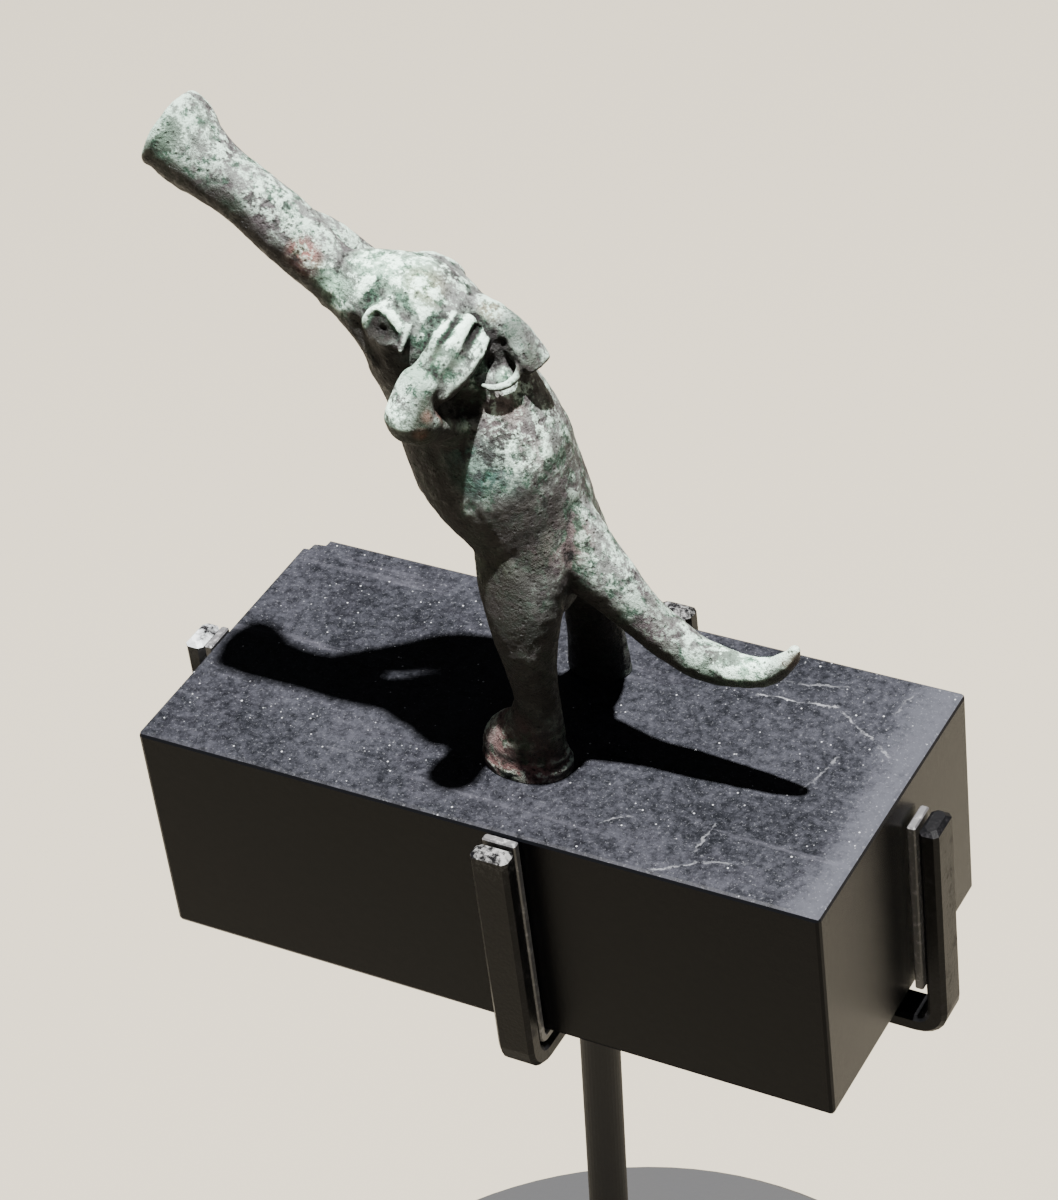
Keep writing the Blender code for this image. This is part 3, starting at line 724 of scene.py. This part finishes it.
FAR_ARM = [
    (-2.2, 2.4, 26.0, 2.4, 2.0), (-4.6, 4.0, 26.0, 2.0, 1.8), (-7.0, 4.1, 27.0, 1.7, 1.6),
    (-8.8, 3.1, 28.6, 1.9, 1.9), (-10.4, 1.9, 31.0, 1.6, 1.7), (-12.0, 0.9, 33.5, 1.5, 1.5),
    (-13.8, -0.4, 35.3, 1.4, 1.4),
]
CREST = [
    (-2.2, -0.3, 31.8, 0.5, 0.8), (-0.9, -0.3, 31.75, 0.75, 1.0), (0.7, -0.35, 30.95, 0.85, 1.1),
    (1.8, -0.4, 30.0, 0.85, 1.15), (2.6, -0.5, 29.1, 0.8, 1.15), (3.05, -0.55, 28.45, 0.75, 1.1),
]
CREST_LEVEL = Vector((0.0, 1.0, 0.4))
PALM = [
    (-0.6, -2.0, 31.6, 0.6, 1.2), (-0.7, -3.65, 31.1, 0.7, 1.35), (-1.1, -5.1, 30.4, 0.75, 1.35),
    (-1.6, -6.25, 29.75, 0.85, 1.3),
]
PALM_LEVEL = Vector((1.0, 0.0, -0.9))
FINGERS = [
    [(-1.4, -2.3, 32.45, 0.28, 0.28), (-1.5, -3.7, 32.0, 0.36, 0.36),
     (-1.8, -4.9, 31.2, 0.4, 0.4), (-2.15, -6.0, 30.4, 0.45, 0.4)],
    [(-0.65, -1.9, 31.95, 0.45, 0.42), (-0.7, -3.35, 31.65, 0.64, 0.6),
     (-1.0, -4.55, 31.0, 0.7, 0.62), (-1.45, -5.9, 30.1, 0.7, 0.6)],
    [(0.2, -1.6, 30.75, 0.45, 0.42), (0.25, -3.1, 30.45, 0.64, 0.6),
     (-0.1, -4.6, 29.8, 0.7, 0.62), (-0.85, -6.0, 29.0, 0.7, 0.6)],
]
FAR_FINGERS = [
    [(-13.0, 0.1, 36.2, 0.45, 0.45), (-13.2, -0.6, 37.3, 0.4, 0.45), (-13.4, -1.5, 37.8, 0.3, 0.4)],
    [(-13.9, 0.2, 36.9, 0.45, 0.45), (-14.1, -0.6, 38.0, 0.4, 0.45), (-14.2, -1.4, 38.5, 0.3, 0.4)],
    [(-14.7, 0.2, 37.6, 0.4, 0.4), (-14.9, -0.5, 38.5, 0.4, 0.4), (-15.0, -1.2, 39.0, 0.3, 0.35)],
]
CHEEK_RIDGE = [
    (-3.2, -4.5, 32.6, 0.15, 0.2), (-3.3, -5.1, 32.0, 0.24, 0.24), (-3.4, -5.55, 31.3, 0.2, 0.22),
]
UPPER_LID = [
    (-6.4, -4.8, 31.9, 0.18, 0.18), (-6.1, -4.6, 32.9, 0.26, 0.28),
    (-5.4, -4.35, 33.4, 0.3, 0.32), (-4.4, -4.55, 33.1, 0.3, 0.32),
    (-3.7, -4.95, 32.4, 0.2, 0.2),
]
LOWER_LID = [
    (-5.4, -5.1, 31.7, 0.2, 0.2), (-4.7, -5.3, 31.5, 0.28, 0.28), (-4.0, -5.2, 31.8, 0.2, 0.2),
]
NEAR_EYE = ((-4.9, -4.7, 32.3), (1.45, -0.1, 0.1), (-0.3, 0.64, 1.22), 0.13)
FAR_EYE = ((-4.9, 2.15, 32.4), (1.4, 0.1, 0.1), (-0.3, -0.64, 1.22), 0.27)
NEAR_EYE_BALL = ((-4.85, -4.0, 32.3), 0.95)
FAR_EYE_BALL = ((-4.85, 1.7, 32.3), 0.95)
EAR_RIM = [
    (0.85, -3.6, 28.6, 0.18, 0.18), (1.4, -3.4, 28.4, 0.26, 0.26), (2.0, -2.8, 28.35, 0.27, 0.27),
    (2.35, -2.1, 28.6, 0.27, 0.27), (2.35, -1.5, 29.1, 0.27, 0.27), (2.0, -1.1, 29.7, 0.22, 0.22),
]
BELL_LIP = ((-21.0, -0.9, 41.05), (0.0, 2.35, 0.0), (1.2, 0.0, 2.0), 0.43)
TOE_CREASES = [
    ((1.2, -4.75, 0.35), (3.05, 0.0, 0.0), (0.0, 1.95, 0.0), 0.22),
    ((1.3, -4.8, 1.05), (2.85, 0.0, 0.0), (0.0, 1.8, 0.0), 0.17),
    ((1.45, -4.85, 1.75), (2.6, 0.0, 0.0), (0.0, 1.65, 0.0), 0.15),
]

# Lines that are both tooled and darkened
PUPIL = [(-4.9, -5.0, 32.3)]
UPPER_GROOVE = [(-0.9, -2.3, 32.6), (-1.1, -3.8, 32.0), (-1.4, -5.3, 31.1)]
LOWER_GROOVE = [(0.1, -1.7, 31.8), (0.0, -3.4, 31.2), (-0.5, -5.0, 30.5), (-0.9, -6.0, 30.0)]
FLAP_EDGE = [(-0.6, -1.45, 31.9), (0.9, -1.6, 30.9), (2.0, -1.8, 29.6), (2.8, -1.8, 28.6)]

# Tool strokes on the skin: (spots, reach, depth), in grid steps
STROKES = [
    (PUPIL, 0.4, 0.25),
    ([(-6.6, -4.3, 33.1), (-5.6, -3.6, 34.3), (-4.3, -3.6, 34.2), (-3.4, -4.1, 33.4)], 0.9, 0.30),
    ([(-7.0, -4.5, 31.9), (-6.7, -4.9, 31.0), (-5.6, -5.4, 30.2)], 1.0, 0.30),
    (UPPER_GROOVE, 0.3, 0.22),
    (LOWER_GROOVE, 0.5, 0.35),
    ([(-2.2, -2.5, 33.0), (-2.4, -4.0, 32.4)], 0.5, 0.15),
    ([(1.2, -2.3, 29.5)], 0.9, 0.8),
    ([(1.2, -1.6, 30.4), (1.2, -2.9, 29.7), (0.7, -4.3, 29.0)], 0.55, 0.40),
    (FLAP_EDGE, 0.35, 0.28),
    ([(-0.8, -6.0, 27.9), (-0.6, -5.0, 27.2), (0.4, -4.2, 27.2)], 1.4, 0.45),
    ([(-21.35, -0.9, 41.35)], 2.1, 1.5),
]

# Lines and spots of colour in the hollows and on the edges, with painted shade round the eye and in
# the near arm's crook and a painted highlight on the upper lid: (spots, reach, colour name,
# strength)
SEAMS = [
    (UPPER_GROOVE, 0.28, "olive", 0.9),
    (LOWER_GROOVE, 0.45, "olive", 0.95),
    ([(1.2, -1.6, 30.4), (1.2, -2.9, 29.7), (0.7, -4.3, 29.0), (-0.1, -5.9, 28.4)], 0.6,
     "black", 0.85),
    (FLAP_EDGE, 0.3, "olive", 0.8),
    # Painted shade in the eye
    ([(-5.2, -4.9, 32.5), (-4.6, -5.0, 32.1)], 1.1, "umber", 1.0),
    (PUPIL, 0.4, "black", 1.0),
    # Painted highlight along the upper lid
    ([(-6.3, -4.7, 32.3), (-6.0, -4.65, 33.0), (-5.4, -4.4, 33.5), (-4.4, -4.6, 33.2),
      (-3.8, -4.95, 32.6)], 0.32, "mint", 0.75),
    ([(-6.4, -3.7, 33.7), (-5.4, -3.3, 34.5), (-4.2, -3.5, 34.1)], 0.5, "umber", 0.7),
    # Painted shade below the eye
    ([(-6.9, -4.4, 32.4), (-6.4, -5.0, 31.0), (-5.2, -5.5, 30.4)], 0.9, "umber", 0.8),
    # Painted shade in the crook of the near arm
    ([(-0.6, -7.8, 29.6), (-0.7, -8.6, 28.6), (-0.8, -8.5, 27.4)], 1.05, "olive", 0.9),
    ([(-0.4, -8.0, 28.9)], 0.45, "copper", 0.9),
    ([(-0.8, -8.6, 27.9)], 0.45, "copper", 0.9),
    ([(-1.6, -6.2, 0.7), (0.6, -6.9, 0.6), (3.2, -6.3, 0.6)], 0.75, "rose", 0.9),
    ([(-1.4, -6.1, 1.5), (0.8, -6.7, 1.4), (3.2, -6.1, 1.4)], 0.35, "dun", 0.8),
]

# Crusts and stains, and painted shade on the trumpet's underside, in and below the eye, in the near
# arm's crook, on the torso's near side and over the far leg: (x, y, z, reach, colour name,
# strength), in grid steps
STAINS = [
    (-20.5, -2.5, 41.5, 2.8, "verdigris", 0.55),
    # Painted shade on the trumpet's lower near side (the umber entries)
    (-19.0, -3.5, 38.8, 2.3, "umber", 0.95),
    (-16.8, -3.6, 37.4, 2.3, "umber", 0.9),
    (-15.8, -3.5, 37.0, 1.2, "verdigris", 0.9),
    (-14.8, -3.6, 36.2, 2.3, "umber", 0.95),
    (-12.4, -3.7, 34.4, 2.1, "umber", 0.95),
    (-10.9, -3.4, 35.0, 1.3, "pink", 0.95),
    (-8.9, -3.2, 33.4, 1.7, "mint", 0.9),
    (-5.2, -2.6, 34.8, 3.2, "mint", 0.6),
    (-3.0, -2.0, 34.3, 1.6, "ochre", 0.5),
    # Painted shade in the eye and below it, down to the near arm
    (-4.95, -4.6, 32.4, 1.5, "umber", 0.9),
    (-6.4, -4.6, 30.8, 2.2, "umber", 0.8),
    (-4.4, -5.1, 28.8, 2.4, "black", 0.85),
    (-1.6, -5.6, 31.0, 1.9, "verdigris", 0.7),
    (-0.4, -3.0, 31.4, 1.8, "mint", 0.6),
    (1.0, -1.8, 29.6, 0.9, "umber", 0.85),
    (1.5, -2.3, 28.5, 0.6, "mint", 0.6),
    (2.9, -1.5, 29.0, 0.9, "olive", 0.6),
    (1.9, -0.8, 31.0, 1.5, "umber", 0.7),
    (0.2, -0.6, 32.2, 0.8, "ochre", 0.5),
    (-2.6, -8.6, 28.6, 1.4, "mint", 0.45),
    # Painted shade in the crook of the near arm (the two dun entries)
    (-0.5, -7.0, 27.3, 1.5, "dun", 0.6),
    (-0.9, -5.2, 27.3, 1.8, "dun", 0.6),
    (-0.5, -6.6, 28.3, 0.7, "copper", 0.7),
    (2.0, -3.0, 26.6, 1.7, "rose", 0.4),
    (2.8, -3.6, 24.2, 2.2, "chalk", 0.7),
    (2.9, -0.9, 29.6, 0.9, "olive", 0.7),
    (0.2, -5.3, 23.3, 2.3, "teal", 0.9),
    (2.6, -4.8, 22.8, 1.8, "teal", 0.55),
    # Painted shade on the torso's near side below the arm
    (-3.4, -4.8, 23.6, 2.8, "black", 0.85),
    (-2.1, -5.4, 21.4, 2.2, "umber", 0.85),
    (-1.8, -5.3, 19.2, 1.7, "umber", 0.7),
    (2.8, -4.9, 19.0, 3.2, "dun", 0.9),
    (4.6, -2.8, 17.0, 2.0, "rose", 0.5),
    (3.6, -4.0, 18.4, 2.6, "umber", 0.75),
    (0.2, -5.8, 15.6, 2.6, "green", 0.8),
    (2.0, -6.0, 13.4, 3.8, "umber", 0.95),
    (2.6, -6.0, 8.0, 4.0, "umber", 0.75),
    (1.6, -5.5, 4.4, 2.4, "black", 0.7),
    (1.6, -6.0, 0.9, 3.2, "rose", 0.95),
    # Painted shade over the far leg
    (1.4, 5.2, 4.0, 6.0, "black", 0.7),
    (9.5, -1.8, 11.4, 2.6, "dun", 0.5),
    (13.5, -2.3, 8.2, 2.4, "verdigris", 0.6),
    (16.0, -1.6, 9.4, 1.9, "mint", 0.6),
    (19.2, -1.3, 11.0, 1.2, "pink", 0.8),
]

# The tints that the seams and stains name
PATINA = {
    "crust": (0.078, 0.084, 0.080),
    "mint": (0.20, 0.34, 0.25),
    "chalk": (0.24, 0.24, 0.225),
    "verdigris": (0.018, 0.060, 0.030),
    "teal": (0.012, 0.055, 0.043),
    "green": (0.014, 0.030, 0.009),
    "olive": (0.008, 0.010, 0.005),
    "ochre": (0.11, 0.10, 0.055),
    "dun": (0.022, 0.019, 0.017),
    "rose": (0.11, 0.060, 0.058),
    "pink": (0.17, 0.080, 0.070),
    "copper": (0.050, 0.018, 0.012),
    "umber": (0.0055, 0.0045, 0.0040),
    "black": (0.0026, 0.0022, 0.0022),
}

# How stains and seams fade, and how painted shade darkens the tint towards the undersides
STAIN_FADE = 1.35
SEAM_FADE = 1.3
STAIN_WAVER = 0.12
SHADE_START = -0.12
SHADE_RANGE = 0.50
LEAST_TINT = 0.10


def paint_patina_and_shade(obj):
    """Store the skin's tint at each point: the stains and seams above, with painted shade darkening
    the undersides.
    """
    points = read_points(obj)
    tint_and_shade = np.tile(np.array(PATINA["crust"]), (len(points), 1))
    wobble = (np.sin(points[:, 0] * 2.1 + points[:, 2] * 1.3)
              + np.sin(points[:, 1] * 2.7 - points[:, 2] * 1.9)) * STAIN_WAVER
    for x, y, z, reach, name, strength in STAINS:
        away = np.linalg.norm(points - np.array((x, y, z)), axis=1) / reach + wobble
        share = np.clip(STAIN_FADE - away, 0.0, 1.0)
        share = (share * share * (3 - 2 * share) * strength)[:, None]
        tint_and_shade = tint_and_shade * (1 - share) + np.array(PATINA[name]) * share
    # Painted shade: the tint turns umber on faces that point sideways and down, as under a light
    # from above
    painted_light_share = np.clip((read_normals(obj)[:, 2] - SHADE_START) / SHADE_RANGE, 0.0, 1.0)
    painted_light_share = (LEAST_TINT + (1.0 - LEAST_TINT) * painted_light_share)[:, None]
    tint_and_shade = tint_and_shade * painted_light_share + np.array(PATINA["umber"]) * (1 - painted_light_share)
    for spots, reach, name, strength in SEAMS:
        share = np.clip(SEAM_FADE - distance_to_stroke(points, spots) / reach, 0.0, 1.0)
        share = (share * strength)[:, None]
        tint_and_shade = tint_and_shade * (1 - share) + np.array(PATINA[name]) * share
    # The stored tint holds painted shade and highlights as well as the patina
    layer = obj.data.color_attributes.new("patina", "FLOAT_COLOR", "POINT")
    layer.data.foreach_set("color", np.c_[tint_and_shade, np.ones(len(tint_and_shade))].ravel().astype(np.float32))


def clouds(name, size, depth):
    """A cloudy texture for a Displace modifier."""
    texture = bpy.data.textures.new(name, "CLOUDS")
    texture.noise_scale = size
    texture.noise_depth = depth
    texture.noise_basis = "ORIGINAL_PERLIN"
    return texture


class FIGURINE_OT_mouse(bpy.types.Operator):
    """Model the bronze mouse and its trumpet as one fine skin"""

    bl_idname = "figurine.mouse"
    bl_label = "Bronze mouse"

    def execute(self, context):
        sizes = context.scene.figurine_sizes
        colours = context.scene.figurine_colours
        sides = sizes.sides
        parts = [
            lay_limb(BODY, sides),
            lay_limb(TRUMPET, sides, False, False),
            lay_limb(TAIL, sides),
            lay_limb(NEAR_LEG, sides, True, False),
            lay_limb(FAR_LEG, sides, True, False),
            lay_limb(NEAR_ARM, sides),
            lay_limb(FAR_ARM, sides),
            lay_limb(CREST, sides, False, False, CREST_LEVEL),
            lay_limb(CHEEK_RIDGE, FINE_SIDES),
            lay_limb(UPPER_LID, FINE_SIDES),
            lay_limb(LOWER_LID, FINE_SIDES),
            lay_limb(EAR_RIM, FINE_SIDES),
            lay_limb(PALM, PALM_SIDES, level=PALM_LEVEL),
            lay_ball(*NEAR_EYE_BALL),
            lay_ball(*FAR_EYE_BALL),
        ]
        for finger in FINGERS + FAR_FINGERS:
            parts.append(lay_limb(finger, FINE_SIDES))
        for loop in [NEAR_EYE, FAR_EYE, BELL_LIP] + TOE_CREASES:
            parts.append(lay_loop(*loop))
        mouse = join_as("bronze_mouse", parts)
        voxel = sizes.skin_voxel
        apply_modifier(mouse, "skin", "REMESH", mode="VOXEL", voxel_size=voxel)
        apply_modifier(mouse, "soften", "SMOOTH", factor=0.5, iterations=SOFTENING_ROUNDS)
        press(mouse, STROKES)
        apply_modifier(mouse, "settle", "SMOOTH", factor=0.5, iterations=SETTLING_ROUNDS)
        apply_modifier(mouse, "casting lumps", "DISPLACE", texture=clouds("lumps", LUMP_SIZE, 2),
                       texture_coords="LOCAL", strength=sizes.lump_depth, mid_level=0.5)
        apply_modifier(mouse, "corrosion", "DISPLACE", texture=clouds("corrosion", PIT_SIZE, 3),
                       texture_coords="LOCAL", strength=sizes.pit_depth, mid_level=0.55)
        self.flatten_soles(mouse)
        note_relief(mouse, RELIEF_ROUNDS, RELIEF_REACH)
        paint_patina_and_shade(mouse)
        bpy.ops.object.shade_smooth()
        mouse.scale = (sizes.step,) * 3
        mouse.location = (TOP_MIDDLE.x, TOP_MIDDLE.y, FIGURE_BASE)
        take_up(mouse)
        bpy.ops.object.transform_apply(location=True, rotation=True, scale=True)
        mouse.data.materials.clear()
        mouse.data.materials.append(bronze_finish(colours))
        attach(mouse, "root")
        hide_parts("mouse")
        return {"FINISHED"}

    @staticmethod
    def flatten_soles(mouse):
        """Cut the feet off flat, a little below the block's top."""
        take_up(mouse)
        bpy.ops.object.mode_set(mode="EDIT")
        bpy.ops.mesh.select_all(action="SELECT")
        bpy.ops.mesh.bisect(plane_co=(0, 0, SOLE_LEVEL), plane_no=(0, 0, -1), use_fill=True,
                            clear_outer=True)
        bpy.ops.object.mode_set(mode="OBJECT")


class FIGURINE_OT_stone(bpy.types.Operator):
    """Give the stone block its dusty polished finish"""

    bl_idname = "figurine.stone"
    bl_label = "Stone block"

    def execute(self, context):
        dress(["block"], stone_finish(context.scene.figurine_colours))
        return {"FINISHED"}


class FIGURINE_OT_clips(bpy.types.Operator):
    """Finish the cradle of clips and its linings"""

    bl_idname = "figurine.clips"
    bl_label = "Clips and linings"

    def execute(self, context):
        colours = context.scene.figurine_colours
        dress(["cradle"], strip_finish(colours))
        dress(["lining_front", "lining_back", "lining_left", "lining_right"],
              lining_finish(colours))
        return {"FINISHED"}


class FIGURINE_OT_stand(bpy.types.Operator):
    """Finish the rod and the foot plate"""

    bl_idname = "figurine.stand"
    bl_label = "Rod and foot plate"

    def execute(self, context):
        dress(["rod", "foot_plate"], paint_finish(context.scene.figurine_colours))
        return {"FINISHED"}


def dress(nodes, material):
    """Give CAD nodes a finish, with their meshes left alone."""
    for name in nodes:
        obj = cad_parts[name]
        if not obj.material_slots:
            obj.data.materials.append(material)
        for slot in obj.material_slots:
            slot.material = material


class FIGURINE_OT_stage(bpy.types.Operator):
    """Set the pale floor, the soft lights and the camera"""

    bl_idname = "figurine.stage"
    bl_label = "Floor, lights and camera"

    def execute(self, context):
        sizes = context.scene.figurine_sizes
        colours = context.scene.figurine_colours
        let_go()
        bpy.ops.mesh.primitive_plane_add(size=sizes.floor_width, location=(0, 0, 0))
        floor = bpy.context.object
        floor.name = "floor"
        floor.data.materials.append(floor_finish(colours))
        self.light("key", sizes.key_size, *KEY_LIGHT)
        self.light("fill", FILL_SIZE, *FILL_LIGHT)
        world = bpy.data.worlds.new("soft room")
        world.use_nodes = True
        background = world.node_tree.nodes["Background"]
        background.inputs["Color"].default_value = ROOM_COLOUR
        background.inputs["Strength"].default_value = ROOM_STRENGTH
        context.scene.world = world
        self.camera(context)
        return {"FINISHED"}

    @staticmethod
    def light(name, size, spot, energy, colour):
        """An area light at a spot given in grid steps from the block's top, facing the figure."""
        place = TOP_MIDDLE + Vector(spot) * STEP
        aim = TOP_MIDDLE + LIGHTS_AIM
        bpy.ops.object.light_add(type="AREA", location=place,
                                 rotation=(aim - place).to_track_quat("-Z", "Y").to_euler())
        lamp = bpy.context.object
        lamp.name = name
        lamp.data.size = size
        lamp.data.energy = energy
        lamp.data.color = colour

    @staticmethod
    def camera(context):
        """The camera, with the photograph's place, turn and lens."""
        turn = [math.radians(angle) for angle in CAMERA_TURN]
        bpy.ops.object.camera_add(location=TOP_MIDDLE + CAMERA_PLACE, rotation=turn)
        camera = bpy.context.object
        camera.name = "camera"
        camera.data.sensor_width = CAMERA_SENSOR
        camera.data.lens = CAMERA_LENS
        camera.data.clip_start = 0.01
        context.scene.camera = camera


class FIGURINE_PT_panel(bpy.types.Panel):
    """The steps that build the figurine, in order"""

    bl_idname = "FIGURINE_PT_panel"
    bl_label = "Figurine"
    bl_space_type = "VIEW_3D"
    bl_region_type = "UI"
    bl_category = "Figurine"

    def draw(self, context):
        for step in STEPS:
            self.layout.operator(step.bl_idname)
        for group in (context.scene.figurine_sizes, context.scene.figurine_colours):
            for name in group.__annotations__:
                self.layout.prop(group, name)


STEPS = (FIGURINE_OT_stage, FIGURINE_OT_stone, FIGURINE_OT_clips, FIGURINE_OT_stand,
         FIGURINE_OT_mouse)
CLASSES = (FigurineSizes, FigurineColours, *STEPS, FIGURINE_PT_panel)


def register():
    for item in CLASSES:
        bpy.utils.register_class(item)
    bpy.types.Scene.figurine_sizes = bpy.props.PointerProperty(type=FigurineSizes)
    bpy.types.Scene.figurine_colours = bpy.props.PointerProperty(type=FigurineColours)


def unregister():
    del bpy.types.Scene.figurine_colours
    del bpy.types.Scene.figurine_sizes
    for item in reversed(CLASSES):
        bpy.utils.unregister_class(item)


def main():
    register()
    bpy.ops.figurine.stage()
    bpy.ops.figurine.stone()
    bpy.ops.figurine.clips()
    bpy.ops.figurine.stand()
    bpy.ops.figurine.mouse()


if __name__ == "__main__":
    main()
